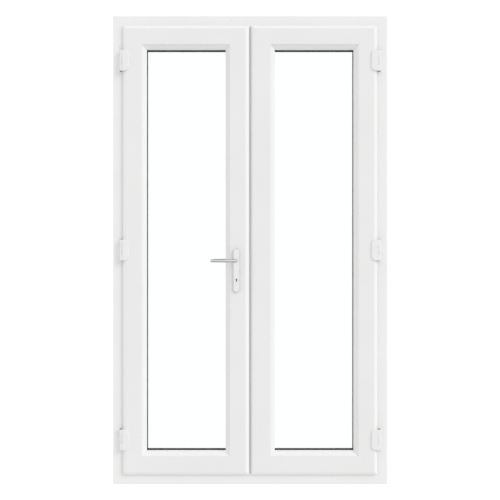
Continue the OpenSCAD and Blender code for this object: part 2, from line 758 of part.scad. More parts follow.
module handle_fixing_plate() {
  len = cylinder_drop + 2 * plate_end - 2 * plate_wall - 1;
  w = plate_w - 2 * plate_wall - 1;
  mid = spindle_z - cylinder_drop / 2;
  color(steel) difference() {
    translate([spindle_x, 0, mid]) through(sash_in - 1.5, sash_in) {
      square([w, len - w], center = true);
      for (s = [-1, 1]) translate([0, s * (len - w) / 2]) circle(w / 2);
    }
    translate([spindle_x, 0, spindle_z]) rod_y(neck_r, sash_in - 2, sash_in + 1);
    translate([spindle_x, 0, cylinder_z]) through(sash_in - 2, sash_in + 1) euro_shape(fit);
    for (z = screw_zs) translate([spindle_x, 0, z]) rod_y(screw_r + run, sash_in - 2, sash_in + 1);
  }
}

module handle_screws() {
  color(steel) for (z = screw_zs) translate([spindle_x, 0, z]) {
    rod_y(4.2, sash_in - 4, sash_in - 1.5);
    rod_y(screw_r, sash_in - 2, sash_out + 4);
  }
}

// Lever with its neck on the y axis and its bar towards -x, leaf face at y = 0
module lever() {
  bar_l = lever_reach - bend_r - tip_r;
  difference() {
    union() {
      rod_y(neck_r, -lever_out + bend_r, -1.8);
      translate([-bend_r, -lever_out + bend_r, 0]) rotate([0, 0, -90])
        rotate_extrude(angle = 90) translate([bend_r, 0]) circle(lever_r);
      translate([-bend_r, -lever_out, 0]) rotate([0, -90, 0]) cylinder(r1 = lever_r, r2 = tip_r, h = bar_l);
      translate([-bend_r - bar_l, -lever_out, 0]) sphere(tip_r);
    }
    translate([-spindle_side / 2 - run, -lever_out + 16, -spindle_side / 2 - run])
      cube([spindle_side + 2 * run, lever_out, spindle_side + 2 * run]);
  }
}

module inner_lever() color(zinc) translate([spindle_x, sash_in, spindle_z]) lever();

module outer_lever() {
  color(zinc) translate([spindle_x, sash_out, spindle_z]) mirror([0, 1, 0]) lever();
}

module spindle() {
  y0 = sash_in - lever_out + 16.5;
  y1 = sash_out + lever_out - 16.5;
  color(steel) translate([spindle_x - spindle_side / 2, y0, spindle_z - spindle_side / 2])
    cube([spindle_side, y1 - y0, spindle_side]);
}

function involute(a) = tan(a) - a * PI / 180;

// Half the angle of a tooth at radius r, in degrees
function tooth_half(r) = (((rack_pitch / 2 - backlash) / 2) / pitch_r + involute(pressure)
  - involute(acos(min(1, base_r / r)))) * 180 / PI;

function polar(r, a) = [r * cos(a), r * sin(a)];

module follower() {
  tip = pitch_r + addendum;
  root = pitch_r - dedendum;
  flank = [for (i = [0 : 4]) base_r + (tip - base_r) * i / 4];
  outline = [for (t = [0 : teeth - 1]) let (mid = (t + 0.5) * 360 / teeth)
    each concat([polar(root, mid - tooth_half(base_r))],
      [for (r = flank) polar(r, mid - tooth_half(r))],
      [for (i = [4 : -1 : 0]) polar(flank[i], mid + tooth_half(flank[i]))],
      [polar(root, mid + tooth_half(base_r))])];
  color(steel) translate([spindle_x, 0, spindle_z]) difference() {
    union() {
      through(groove_y - gear_t / 2, groove_y + gear_t / 2) polygon(outline);
      rod_y(hub_r, groove_y - case_w / 2, groove_y + case_w / 2);
    }
    translate([-spindle_side / 2 - run, groove_y - case_w, -spindle_side / 2 - run])
      cube([spindle_side + 2 * run, 2 * case_w, spindle_side + 2 * run]);
  }
}

// The rail behind the faceplate, with its arm and rack in the gearbox
module drive_rail() {
  slope = tan(pressure);
  half = rack_pitch / 4 - backlash / 4;
  back_x = rack_x + dedendum;
  tooth = [[dedendum, half + dedendum * slope], [-addendum, half - addendum * slope],
    [-addendum, -half + addendum * slope], [dedendum, -half - dedendum * slope]];
  low = ceil((rack_z[0] + rack_pitch / 2 - spindle_z) / rack_pitch);
  high = floor((rack_z[1] - rack_pitch / 2 - spindle_z) / rack_pitch);
  color(steel) {
    translate([rail_x - rail_t, groove_y - rail_w / 2, rail_ends[0]])
      cube([rail_t, rail_w, rail_ends[1] - rail_ends[0]]);
    translate([rail_x - rail_t - 8, groove_y - gear_t / 2, rail_arm[0]])
      cube([8.5, gear_t, rail_arm[1] - rail_arm[0]]);
    translate([back_x, groove_y - gear_t / 2, rack_z[0]])
      cube([rail_x - rail_t - 7 - back_x, gear_t, rack_z[1] - rack_z[0]]);
    for (i = [low : high]) translate([rack_x, 0, spindle_z + i * rack_pitch])
      through(groove_y - gear_t / 2, groove_y + gear_t / 2)
        polygon([for (p = tooth) [p[0] + (p[0] > 0 ? 0.2 : 0), p[1]]]);
  }
}

module locking_cams() {
  color(steel) for (z = cam_heights) translate([rail_x, groove_y, z]) rotate([0, 90, 0]) {
    cylinder(r = cam_neck_r, h = edge_x - rail_x + cam_neck_l);
    translate([0, 0, edge_x - rail_x + cam_neck_l]) cylinder(r = cam_head_r, h = cam_head_t);
  }
}

module keyway() {
  translate([0, 2.2]) circle(3.2);
  translate([-1.8, -5.8]) square([3.6, 8]);
}

module inner_plug() {
  y_in = groove_y - cam_gap / 2;
  color(steel) translate([spindle_x, 0, cylinder_z]) {
    difference() {
      rod_y(plug_r, cyl_y[0], y_in);
      through(cyl_y[0] - 1, y_in - 4) keyway();
    }
    through(y_in, groove_y + cam_gap / 2 - 0.5) {
      circle(plug_r + 0.6);
      rotate(-60) translate([0, -3.5]) square([cam_r - 1, 7]);
    }
  }
}

module outer_plug() {
  y_in = groove_y + cam_gap / 2;
  color(steel) translate([spindle_x, 0, cylinder_z]) difference() {
    rod_y(plug_r, y_in, cyl_y[1]);
    through(y_in + 4, cyl_y[1] + 1) keyway();
  }
}

// Meeting line, fixed to the passive leaf
module false_mullion() {
  case_z = mullion_z[1] - mullion_cap_t - mid_z - bolt_case[2];
  x0 = mullion_x[0];
  x1 = mullion_x[1];
  tongue = groove_w / 2 - 0.2;
  color(white) difference() {
    translate([0, 0, mullion_z[0] + mullion_cap_t])
      linear_extrude(mullion_z[1] - mullion_z[0] - 2 * mullion_cap_t) difference() {
        union() {
          rect([x0, frame_in, x1, sash_out]);
          rect([x1 - 1, groove_y - tongue, x1 + groove_step - 0.2, groove_y + tongue]);
        }
        rect([x0 + wall, frame_in + wall, x1 - wall, groove_y]);
        rect([x0 + wall, groove_y + web, x1 - wall, bolt_y + bolt_case[1] / 2 + wall]);
        rect([x0 + wall, bolt_y + bolt_case[1] / 2 + wall + web, x1 - wall, sash_out - wall]);
      }
    translate([0, 0, mid_z]) for (m = [0, 1]) mirror([0, 0, m])
      translate([x0 - 1, bolt_y - bolt_case[1] / 2 - fit, case_z - fit])
        cube([bolt_case[0] + 1 + fit, bolt_case[1] + 2 * fit, bolt_case[2] + 5]);
  }
}

module mullion_cover() {
  x0 = edge_x - cover_lap[0];
  x1 = mullion_x[1] + cover_lap[1];
  color(white) translate([0, 0, cover_z[0]]) linear_extrude(cover_z[1] - cover_z[0]) difference() {
    polygon([[x0, frame_lip_y], [x0, frame_out - 4], [x0 + 3, frame_out - 1], [x1 - 3, frame_out - 1],
      [x1, frame_out - 4], [x1, sash_out], [mullion_x[0], sash_out], [mullion_x[0], frame_lip_y]]);
    rect([x0 + wall, frame_lip_y + wall, mullion_x[0] + 6, frame_out - 1 - wall]);
    rect([mullion_x[0] + 6 + web, sash_out + wall, x1 - wall, frame_out - 1 - wall]);
  }
}

module mullion_end_caps() {
  color(white) translate([0, 0, mid_z]) for (m = [0, 1]) mirror([0, 0, m])
    translate([0, 0, mullion_z[1] - mid_z - mullion_cap_t]) difference() {
      linear_extrude(mullion_cap_t) rect([mullion_x[0], frame_in, mullion_x[1], sash_out]);
      translate([bolt_x, bolt_y, -1]) cylinder(r = bolt_r + 0.3, h = mullion_cap_t + 2);
    }
}

// Each keep has an open end where a cam enters and a hooked end that holds it
module mullion_keeps() {
  y0 = groove_y - cam_head_r - 4;
  hook_y = groove_y - cam_neck_r - 0.4;
  color(steel) for (z = cam_heights) translate([0, 0, z]) {
    translate([mullion_x[0] - keep_t, y0, -keep_below])
      cube([keep_t, 2 * cam_head_r + 8, keep_below + throw + keep_above]);
    translate([keep_hook_x[0], y0, throw / 2]) {
      cube([mullion_x[0] - keep_hook_x[0], 3.6, throw / 2 + keep_above]);
      cube([keep_hook_x[1] - keep_hook_x[0], hook_y - y0, throw / 2 + keep_above]);
    }
  }
}

// Flush bolt drawn for the top, with its thumb lug through the slot of the case
module flush_bolt() {
  top = mullion_z[1] - 0.5;
  color(steel) {
    translate([bolt_x, bolt_y, top - bolt_l]) cylinder(r = bolt_r, h = bolt_l);
    translate([mullion_x[0] - 1, bolt_y - 2.2, top - bolt_l + 20]) cube([bolt_x - mullion_x[0] + 1, 4.4, 12]);
  }
}

module top_bolt() flush_bolt();

module bottom_bolt() translate([0, 0, frame_h]) mirror([0, 0, 1]) flush_bolt();

module flush_bolt_cases() {
  t = 1.5;
  top = mullion_z[1] - mullion_cap_t;
  lug_z = mullion_z[1] - 0.5 - bolt_l + 20;
  color(steel) for (m = [0, 1]) translate([0, 0, m * frame_h]) mirror([0, 0, m]) difference() {
    translate([mullion_x[0], bolt_y - bolt_case[1] / 2, top - bolt_case[2]]) cube(bolt_case);
    translate([mullion_x[0] + t, bolt_y - bolt_case[1] / 2 + t, top - bolt_case[2] + t])
      cube([bolt_case[0] - 2 * t, bolt_case[1] - 2 * t, bolt_case[2] - 2 * t]);
    translate([bolt_x, bolt_y, top - 3]) cylinder(r = bolt_r + run, h = 5);
    translate([mullion_x[0] - 1, bolt_y - 2.5, lug_z - 1]) cube([t + 2, 5, 12 + bolt_throw + 2]);
  }
}

module bolt_keeps() {
  color(steel) translate([0, 0, mid_z]) for (m = [0, 1]) mirror([0, 0, m])
    translate([bolt_x, bolt_y, mid_z - frame_block]) difference() {
      union() {
        translate([-keep_plate[0] / 2, -keep_plate[1] / 2, 0]) cube(keep_plate);
        cylinder(r = bolt_r + 2.2, h = keep_depth);
      }
      translate([0, 0, -1]) cylinder(r = bolt_r + 0.7, h = keep_depth - 0.5);
    }
}

frame_head();
frame_threshold();
frame_left_jamb();
frame_right_jamb();
frame_reinforcement();
frame_seal();
drain_caps();
hinge_brackets();
hinge_pins();
hinge_pin_caps();
bolt_keeps();
active_top_rail();
active_bottom_rail();
active_hinge_stile();
active_lock_stile();
active_reinforcement();
active_beads();
active_glazing_gaskets();
active_panes();
active_spacer();
active_packers();
active_seal();
active_hinge_leaves();
active_hinge_covers();
lock_faceplate();
gearbox_case();
lock_cylinder();
inner_handle_plate();
outer_handle_plate();
handle_fixing_plate();
handle_screws();
inner_lever();
outer_lever();
spindle();
follower();
drive_rail();
locking_cams();
inner_plug();
outer_plug();
passive_top_rail();
passive_bottom_rail();
passive_hinge_stile();
passive_meeting_stile();
passive_reinforcement();
passive_beads();
passive_glazing_gaskets();
passive_panes();
passive_spacer();
passive_packers();
passive_seal();
passive_hinge_leaves();
passive_hinge_covers();
false_mullion();
mullion_cover();
mullion_end_caps();
mullion_keeps();
top_bolt();
bottom_bolt();
flush_bolt_cases();
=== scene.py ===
import math

import bmesh
import bpy
from mathutils import Matrix, Vector


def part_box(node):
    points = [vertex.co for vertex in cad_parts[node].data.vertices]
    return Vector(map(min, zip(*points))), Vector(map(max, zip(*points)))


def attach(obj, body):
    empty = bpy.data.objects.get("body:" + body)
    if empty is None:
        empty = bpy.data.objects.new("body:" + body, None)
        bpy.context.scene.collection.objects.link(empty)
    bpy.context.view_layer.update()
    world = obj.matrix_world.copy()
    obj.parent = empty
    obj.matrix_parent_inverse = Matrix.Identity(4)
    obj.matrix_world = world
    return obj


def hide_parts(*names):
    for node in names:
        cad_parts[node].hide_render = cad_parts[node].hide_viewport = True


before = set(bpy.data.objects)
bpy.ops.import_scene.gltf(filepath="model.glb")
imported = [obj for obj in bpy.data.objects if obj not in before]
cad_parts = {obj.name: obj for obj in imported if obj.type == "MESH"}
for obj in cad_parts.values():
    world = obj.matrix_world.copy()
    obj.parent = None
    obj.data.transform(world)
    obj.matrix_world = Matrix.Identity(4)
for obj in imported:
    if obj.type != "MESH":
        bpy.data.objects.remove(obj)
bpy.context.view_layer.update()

# Inward opening french doors. Metres; +Z up, -Y towards the room; the frame stands on z = 0.
# The left leaf is the active one. Sizes and places are in millimetres down to the studio.
MM = 0.001

# Frame and leaves
FRAME_H, HEAD_REBATE_Z = 2050, 1997
FRAME_IN, LIP_Y = -35, 20
SASH_IN, SASH_OUT, FLANGE_Y = -53, 17, -38.5
LEAF_BEVEL = (-53, -45)
MULLION_X, PAD_X = -13, -4
PAD_W, PAD_D, PAD_GAP, PAD_SINK = 17, 15, 0.4, 0.1
PROFILE_EDGE, FITTING_EDGE = 0.5, 0.35

# Seals
FRAME_SEAL_W, LEAF_SEAL_W, GASKET_W, SPACER_W = 6, 5, 6.5, 12
SEAL_OFF, SEAL_ROUND = 0.15, 0.85
COVER_FOOT_Z, MEETING_EDGE = 75, 1.2
SPACER_BAND, SPACER_SINK = 2.5, 0.6

# Lock and handle
LOCK_EDGE_X, GROOVE_Y = -25, -25
SPINDLE_X, SPINDLE_Z, CYLINDER_Z = -60, 979, 894
PLATE_T, KEEP_T = 8.5, 2
CAM_HEIGHTS = (260, 720, 1330, 1790)
CAM_HEAD_R, CAM_HEAD_T, CAM_CROWN, CAM_NECK_R = 5, 2.5, 0.4, 3
SOCKET_ACROSS, SOCKET_DEPTH, SOCKET_RIM_R = 4, 1.8, 2.2
KEYHOLE_R, KEYHOLE_UP, KEYHOLE_HALF_SLOT, KEYHOLE_FOOT = 3.15, 2.2, 1.75, -5.75
# The keyway holds painted shade: a near black plate this far behind the plug face, and this thick.
KEYWAY_SHOW, SHADE_PLATE_T = 0.3, 1.2
TOP_RIM_AND_SINK, SLOT_RIM_AND_SINK = (0.8, 0.7), (0.5, 0.6)

# Screws: the radius of the head, then the reach and the depth of its cross recess. ARM_HALF_W is a share of
# that reach, and RECESS_IN a share of the radius.
FACEPLATE_SCREW, SMALL_SCREW = (3.4, 1.5, 0.9), (2.8, 1.3, 0.8)
HEAD_T, HEAD_RIM, HEAD_CROWN = 0.8, 0.25, 0.12
ARM_HALF_W, RECESS_IN = 0.28, 0.4
FACEPLATE_SCREW_HEIGHTS = (140, 420, 600, 840, 1060, 1220, 1480, 1640, 1910)
KEEP_SCREWS = ((0, -8.2), (3, 29.5))
BOLT_X, BOLT_Y, BOLT_KEEP_SCREW_OFF = -2, -9, 14
BOLT_CASE_SCREW_HEIGHTS = (1850, 1976)

# Turned rings: outer and inner radius, thickness, rounded edge
LEVER_COLLAR, HINGE_WASHER = (9.4, 8.2, 1.4, 0.5), (6.7, 4.1, 0.4, 0.1)

# Hinges
HINGE_X, HINGE_Y, HINGE_HEIGHTS = 562.5, -49, (199, 1025, 1851)
HINGE_H, HINGE_KNUCKLE, HINGE_PIN_R = 92, 34, 4
CAP_R, CAP_STANDS, CAP_STEM_R, CAP_STEM_L = 6.8, 0.5, 5.95, 2.9
CAP_RIM, CAP_DISH = (0.5, 0.3), (2.5, -0.4)
SLOT_W, SLOT_LIP_T, SLOT_FRONT_Y, LIP_EDGE = 4.1, 0.8, -56.6, 0.3

# How far a fitting is kept off the face that it would share, and how far a collar is let into its plate
CLEAR, LET_IN = 0.05, 0.02


# Materials
ALONG_X, ALONG_Z = 0, 2
WARMTH = (0, 0, 0.003)
# The frame white and the bead white are painted light: lighter copies of the leaf white that lift the frame
# strips out of the leaves' shade and brighten the sloping bead faces.
LEAF_WHITE, FRAME_LIT_WHITE, BEAD_HIGHLIGHT_WHITE = 0.891, 0.925, 0.94
# The bevel white is a painted highlight on the leaf bevels, faded in and out over these millimetres of depth.
BEVEL_HIGHLIGHT_WHITE, BEVEL_HIGHLIGHT_FADE = (0.955, 0.955, 0.952, 1), (0.05, 0.25)
CLOUD = 0.011
BACKDROP_WHITE = 1.06


def add_node(mat, kind, inputs=None, **settings):
    """A shader node with its settings and its socket values or links."""
    node = mat.node_tree.nodes.new(kind)
    for key, value in settings.items():
        setattr(node, key, value)
    for key, value in (inputs or {}).items():
        if isinstance(value, bpy.types.NodeSocket):
            mat.node_tree.links.new(value, node.inputs[key])
        else:
            node.inputs[key].default_value = value
    return node


def reckon(mat, operation, *values):
    """The result of a math node on numbers or sockets."""
    return add_node(mat, "ShaderNodeMath", dict(enumerate(values)), operation=operation).outputs["Value"]


def fade(mat, value, start, end, low=0.0, high=1.0, curve="LINEAR"):
    """Goes from low to high while the value goes from start to end."""
    return add_node(mat, "ShaderNodeMapRange", {
        "Value": value, "From Min": start, "From Max": end, "To Min": low, "To Max": high},
        interpolation_type=curve).outputs["Result"]


def own_place(mat):
    return add_node(mat, "ShaderNodeTexCoord").outputs["Object"]


def noise(mat, scale, stretch=(1, 1, 1), detail=3.0):
    """Noise over the object's own coordinates; scale is in waves per metre."""
    turned = add_node(mat, "ShaderNodeMapping", {"Vector": own_place(mat), "Scale": stretch})
    return add_node(mat, "ShaderNodeTexNoise", {
        "Vector": turned.outputs["Vector"], "Scale": scale, "Detail": detail}).outputs["Fac"]


def drawn_lines(mat, along, across, lengthwise, detail):
    """Noise drawn out into fine lines along one axis."""
    waves = [float(across)] * 3
    waves[along] = float(lengthwise)
    return noise(mat, 1.0, waves, detail)


def plain_finish(name, roughness, metallic=0.0, specular=0.5, coat=0.0):
    mat = bpy.data.materials.new(name)
    mat.use_nodes = True
    shader = mat.node_tree.nodes["Principled BSDF"]
    shader.inputs["Roughness"].default_value = roughness
    shader.inputs["Metallic"].default_value = metallic
    shader.inputs["Specular IOR Level"].default_value = specular
    shader.inputs["Coat Weight"].default_value = coat
    shader.inputs["Coat Roughness"].default_value = 0.15
    return mat, shader


def shade_between(mat, shader, factor, dark, light, span=(0.3, 0.7)):
    tones = add_node(mat, "ShaderNodeValToRGB", {"Fac": factor})
    for stop, place, tone in zip(tones.color_ramp.elements, span, (dark, light)):
        stop.position, stop.color = place, (*tone, 1)
    mat.node_tree.links.new(tones.outputs["Color"], shader.inputs["Base Color"])


def rough_between(mat, shader, factor, low, high):
    mat.node_tree.links.new(fade(mat, factor, 0.3, 0.7, low, high), shader.inputs["Roughness"])


def raise_by(mat, shader, *heights):
    """Bump from pairs of a factor and its height in millimetres, one over the other."""
    below = {}
    for factor, height in heights:
        bump = add_node(mat, "ShaderNodeBump", {
            "Height": factor, "Strength": 1.0, "Distance": height * MM, **below})
        below = {"Normal": bump.outputs["Normal"]}
    mat.node_tree.links.new(below["Normal"], shader.inputs["Normal"])


def paint_bevel_highlight(mat, shader, front, back):
    """A painted highlight: a whiter band between two depths of a bar, where its bevel lies, so that the bevel
    reads lighter than the face.
    """
    depth = add_node(mat, "ShaderNodeSeparateXYZ", {"Vector": own_place(mat)}).outputs["Y"]
    start, full = BEVEL_HIGHLIGHT_FADE
    behind_face = fade(mat, depth, (front + start) * MM, (front + full) * MM)
    before_side = fade(mat, depth, (back - start) * MM, back * MM, 1.0, 0.0)
    plain_white = shader.inputs["Base Color"].links[0].from_socket
    highlighted = add_node(mat, "ShaderNodeMix", {
        0: reckon(mat, "MULTIPLY", behind_face, before_side), 6: plain_white, 7: BEVEL_HIGHLIGHT_WHITE},
        data_type="RGBA")
    mat.node_tree.links.new(highlighted.outputs[2], shader.inputs["Base Color"])


def extruded_upvc(name, along, white, bevel=None):
    """Glossy white profile: faint die lines along the bar, a fine orange peel and a slight cloud of tone; where
    bevel depths are given, also a painted highlight on the bevel.
    """
    mat, shader = plain_finish(name, 0.32, specular=0.42)
    shade_between(mat, shader, noise(mat, 5.0, detail=2.0), [white - CLOUD - warm for warm in WARMTH],
                  [white + CLOUD - warm for warm in WARMTH])
    # Painted highlight on the bevel, where bevel depths are given.
    if bevel:
        paint_bevel_highlight(mat, shader, *bevel)
    rough_between(mat, shader, noise(mat, 40.0, detail=4.0), 0.27, 0.37)
    raise_by(mat, shader, (drawn_lines(mat, along, 900, 2, 1.0), 0.012), (noise(mat, 1300.0, detail=2.0), 0.006))
    return mat


def coated_white(name):
    """Powder coat on the hinges: a coarser peel than the profiles have."""
    mat, shader = plain_finish(name, 0.28, coat=0.25)
    shade_between(mat, shader, noise(mat, 60.0), (0.885, 0.885, 0.882), (0.910, 0.910, 0.907))
    rough_between(mat, shader, noise(mat, 300.0), 0.24, 0.36)
    raise_by(mat, shader, (noise(mat, 700.0, detail=2.0), 0.012))
    return mat


def satin_metal(name, along):
    """Satin finished handle metal with fine brushing."""
    mat, shader = plain_finish(name, 0.2, metallic=1.0)
    lines = drawn_lines(mat, along, 2600, 60, 2.0)
    shade_between(mat, shader, lines, (0.80, 0.80, 0.795), (0.86, 0.86, 0.855))
    rough_between(mat, shader, noise(mat, 220.0, detail=4.0), 0.15, 0.26)
    raise_by(mat, shader, (lines, 0.003))
    return mat


def plated_steel(name, along):
    """Bright zinc plated lock steel, drawn in long lines, duller in patches."""
    mat, shader = plain_finish(name, 0.3, metallic=1.0)
    lines = drawn_lines(mat, along, 1500, 25, 3.0)
    shade_between(mat, shader, lines, (0.50, 0.50, 0.50), (0.66, 0.66, 0.655))
    rough_between(mat, shader, noise(mat, 90.0, detail=5.0), 0.24, 0.42)
    raise_by(mat, shader, (lines, 0.006))
    return mat


def galvanised(name):
    """Zinc coated steel with its spangle."""
    mat, shader = plain_finish(name, 0.45, metallic=1.0)
    spangle = add_node(mat, "ShaderNodeTexVoronoi", {"Vector": own_place(mat), "Scale": 120.0})
    shade_between(mat, shader, spangle.outputs["Color"], (0.42, 0.43, 0.44), (0.62, 0.63, 0.64), (0.1, 0.9))
    rough_between(mat, shader, noise(mat, 200.0), 0.38, 0.55)
    raise_by(mat, shader, (spangle.outputs["Distance"], 0.02))
    return mat


def seal_rubber(name):
    """Matt black rubber with a fine grain."""
    mat, shader = plain_finish(name, 0.75, specular=0.08)
    shade_between(mat, shader, noise(mat, 400.0, detail=5.0), (0.010, 0.010, 0.011), (0.022, 0.022, 0.023))
    rough_between(mat, shader, noise(mat, 150.0), 0.68, 0.85)
    raise_by(mat, shader, (noise(mat, 1800.0), 0.02))
    return mat


def moulded_plastic(name, dark, light, roughness, specular=0.45):
    """Small moulded parts with a spark eroded surface."""
    mat, shader = plain_finish(name, roughness, specular=specular)
    shade_between(mat, shader, noise(mat, 250.0, detail=4.0), dark, light)
    rough_between(mat, shader, noise(mat, 600.0), roughness - 0.07, roughness + 0.07)
    raise_by(mat, shader, (noise(mat, 2200.0, detail=1.0), 0.015))
    return mat


def surface_of(mat, output):
    mat.node_tree.links.new(output, mat.node_tree.nodes["Material Output"].inputs["Surface"])


def float_glass(name):
    """Clear pane: the far side shows through, with a mirror share that grows towards grazing views."""
    mat, shader = plain_finish(name, 0.02)
    mat.node_tree.nodes.remove(shader)
    mirror = add_node(mat, "ShaderNodeFresnel", {"IOR": 1.45}).outputs["Fac"]
    behind = add_node(mat, "ShaderNodeNewGeometry").outputs["Backfacing"]
    share = reckon(mat, "MULTIPLY", mirror, reckon(mat, "SUBTRACT", 1.0, behind))
    film = add_node(mat, "ShaderNodeValToRGB", {"Fac": noise(mat, 9.0, detail=2.0)})
    film.color_ramp.elements[0].color = (0.985, 0.992, 0.988, 1)
    film.color_ramp.elements[1].color = (0.990, 0.996, 0.993, 1)
    clear = add_node(mat, "ShaderNodeBsdfTransparent", {"Color": film.outputs["Color"]})
    gloss = add_node(mat, "ShaderNodeBsdfAnisotropic", {"Roughness": 0.02})
    pane = add_node(mat, "ShaderNodeMixShader", {0: share, 1: clear.outputs["BSDF"], 2: gloss.outputs["BSDF"]})
    surface_of(mat, pane.outputs["Shader"])
    return mat


# The leaf profiles carry a painted highlight on their bevels.
upvc_upright = extruded_upvc("white_upvc_upright", ALONG_Z, LEAF_WHITE, LEAF_BEVEL)
upvc_level = extruded_upvc("white_upvc_level", ALONG_X, LEAF_WHITE, LEAF_BEVEL)
# The beads are a whiter copy of the leaf white: a painted highlight on their sloping faces.
highlighted_bead_white = extruded_upvc("white_beads_painted_highlight", ALONG_Z, BEAD_HIGHLIGHT_WHITE)
# The frame is a lighter copy of the leaf white: painted light against the shade the leaves cast on its strips.
frame_upright = extruded_upvc("white_frame_upright_painted_light", ALONG_Z, FRAME_LIT_WHITE)
frame_level = extruded_upvc("white_frame_level_painted_light", ALONG_X, FRAME_LIT_WHITE)
hinge_white = coated_white("white_coated_steel")
handle_satin = satin_metal("satin_handle_metal", ALONG_Z)
lever_satin = satin_metal("satin_lever_metal", ALONG_X)
lock_steel = plated_steel("bright_steel", ALONG_Z)
zinc_steel = galvanised("galvanised_steel")
rubber = seal_rubber("gasket_rubber")
cap_black = moulded_plastic("black_plastic", (0.012, 0.012, 0.012), (0.03, 0.03, 0.03), 0.42)
# Near black plate for the keyways: painted shade for their depth.
keyway_shade_black = moulded_plastic("painted_keyway_shade", (0.004, 0.004, 0.004), (0.012, 0.012, 0.012), 0.8, 0.06)
spacer_grey = moulded_plastic("spacer_grey", (0.028, 0.028, 0.029), (0.046, 0.046, 0.047), 0.7, 0.06)
packer_blue = moulded_plastic("packer_plastic", (0.05, 0.11, 0.22), (0.07, 0.15, 0.28), 0.45)
pane_glass = float_glass("clear_glass")

FINISHES = {
    frame_upright: ["frame_left_jamb", "frame_right_jamb"],
    frame_level: ["frame_head", "frame_threshold", "drain_caps"],
    upvc_upright: ["active_hinge_stile", "active_lock_stile", "passive_hinge_stile", "passive_meeting_stile",
                   "false_mullion", "mullion_cover", "mullion_end_caps"],
    upvc_level: ["active_top_rail", "active_bottom_rail", "passive_top_rail", "passive_bottom_rail"],
    highlighted_bead_white: ["active_beads", "passive_beads"],
    hinge_white: ["hinge_brackets", "active_hinge_leaves", "passive_hinge_leaves", "active_hinge_covers",
                  "passive_hinge_covers"],
    handle_satin: ["inner_handle_plate", "outer_handle_plate", "lock_cylinder", "inner_plug", "outer_plug"],
    lever_satin: ["inner_lever", "outer_lever"],
    lock_steel: ["hinge_pins", "lock_faceplate", "gearbox_case", "handle_fixing_plate", "handle_screws",
                 "spindle", "follower", "drive_rail", "locking_cams", "mullion_keeps", "top_bolt",
                 "bottom_bolt", "flush_bolt_cases", "bolt_keeps"],
    zinc_steel: ["frame_reinforcement", "active_reinforcement", "passive_reinforcement"],
    rubber: ["frame_seal", "active_seal", "passive_seal", "active_glazing_gaskets", "passive_glazing_gaskets"],
    cap_black: ["hinge_pin_caps"],
    spacer_grey: ["active_spacer", "passive_spacer"],
    packer_blue: ["active_packers", "passive_packers"],
    pane_glass: ["active_panes", "passive_panes"],
}
for finish, names in FINISHES.items():
    for name in names:
        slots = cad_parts[name].data.materials
        slots.clear()
        slots.append(finish)


# Small rounded edges on the carried-over profiles and fittings
def soften(name, width):
    """Joins a node's loose triangles into whole faces and rounds its edges, by modifiers alone."""
    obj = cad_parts[name]
    weld = obj.modifiers.new("join_faces", "WELD")
    weld.merge_threshold = 0.01 * MM
    flat = obj.modifiers.new("flat_faces", "DECIMATE")
    flat.decimate_type = "DISSOLVE"
    flat.angle_limit = math.radians(0.5)
    bevel = obj.modifiers.new("round_edges", "BEVEL")
    bevel.width = width * MM
    bevel.segments = 2
    bevel.limit_method = "ANGLE"
    bevel.angle_limit = math.radians(40)
    bevel.use_clamp_overlap = True


for finish in (frame_upright, frame_level, upvc_upright, upvc_level, highlighted_bead_white):
    for name in FINISHES[finish]:
        soften(name, PROFILE_EDGE)
for name in ("hinge_brackets", "active_hinge_leaves", "passive_hinge_leaves", "lock_faceplate",
             "mullion_keeps", "bolt_keeps", "flush_bolt_cases", "lock_cylinder"):
    soften(name, FITTING_EDGE)


# Modelling helpers
def start_clean():
    """Leaves edit mode and deselects everything."""
    if bpy.context.object and bpy.context.object.mode != "OBJECT":
        bpy.ops.object.mode_set(mode="OBJECT")
    bpy.ops.object.select_all(action="DESELECT")


def corners(node):
    """The lowest and highest corner of a CAD node, in millimetres."""
    return [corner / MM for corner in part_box(node)]


def round_blank(radius, low, high, sides=64, up=0):
    """A round blank between two heights, its middle this far along y, open for editing."""
    start_clean()
    bpy.ops.mesh.primitive_cylinder_add(vertices=sides, radius=radius * MM, depth=(high - low) * MM,
                                        location=(0, up * MM, (low + high) / 2 * MM))
    bpy.ops.object.transform_apply(location=True)
    bpy.ops.object.mode_set(mode="EDIT")
    return bpy.context.object


def block_blank(low, high):
    """A block between two corners, open for editing."""
    start_clean()
    low, high = Vector(low) * MM, Vector(high) * MM
    bpy.ops.mesh.primitive_cube_add(size=1, location=(low + high) / 2)
    bpy.context.object.scale = high - low
    bpy.ops.object.transform_apply(location=True, scale=True)
    bpy.ops.object.mode_set(mode="EDIT")
    return bpy.context.object


def ring_blank(low, high, width):
    """A mitred bar of this width round an upright rectangle, between two corners, open for editing."""
    start_clean()
    low, high = Vector(low) * MM, Vector(high) * MM
    middle, size = (low + high) / 2, high - low
    bpy.ops.mesh.primitive_plane_add(size=1, location=(middle.x, low.y, middle.z),
                                     rotation=(math.radians(90), 0, 0))
    bpy.context.object.scale = (size.x, size.z, 1)
    bpy.ops.object.transform_apply(location=True, rotation=True, scale=True)
    bpy.ops.object.mode_set(mode="EDIT")
    step_in(width)
    bpy.ops.mesh.delete(type="FACE")
    bpy.ops.mesh.select_all(action="SELECT")
    draw_out((0, size.y / MM, 0))
    turn_outwards()
    return bpy.context.object


def pick_faces(obj, chosen):
    """Selects, in edit mode, the faces for which a test of normal and middle holds."""
    bpy.ops.mesh.select_all(action="DESELECT")
    shape = bmesh.from_edit_mesh(obj.data)
    for face in shape.faces:
        if chosen(face.normal, face.calc_center_median()):
            face.select_set(True)
    bmesh.update_edit_mesh(obj.data)


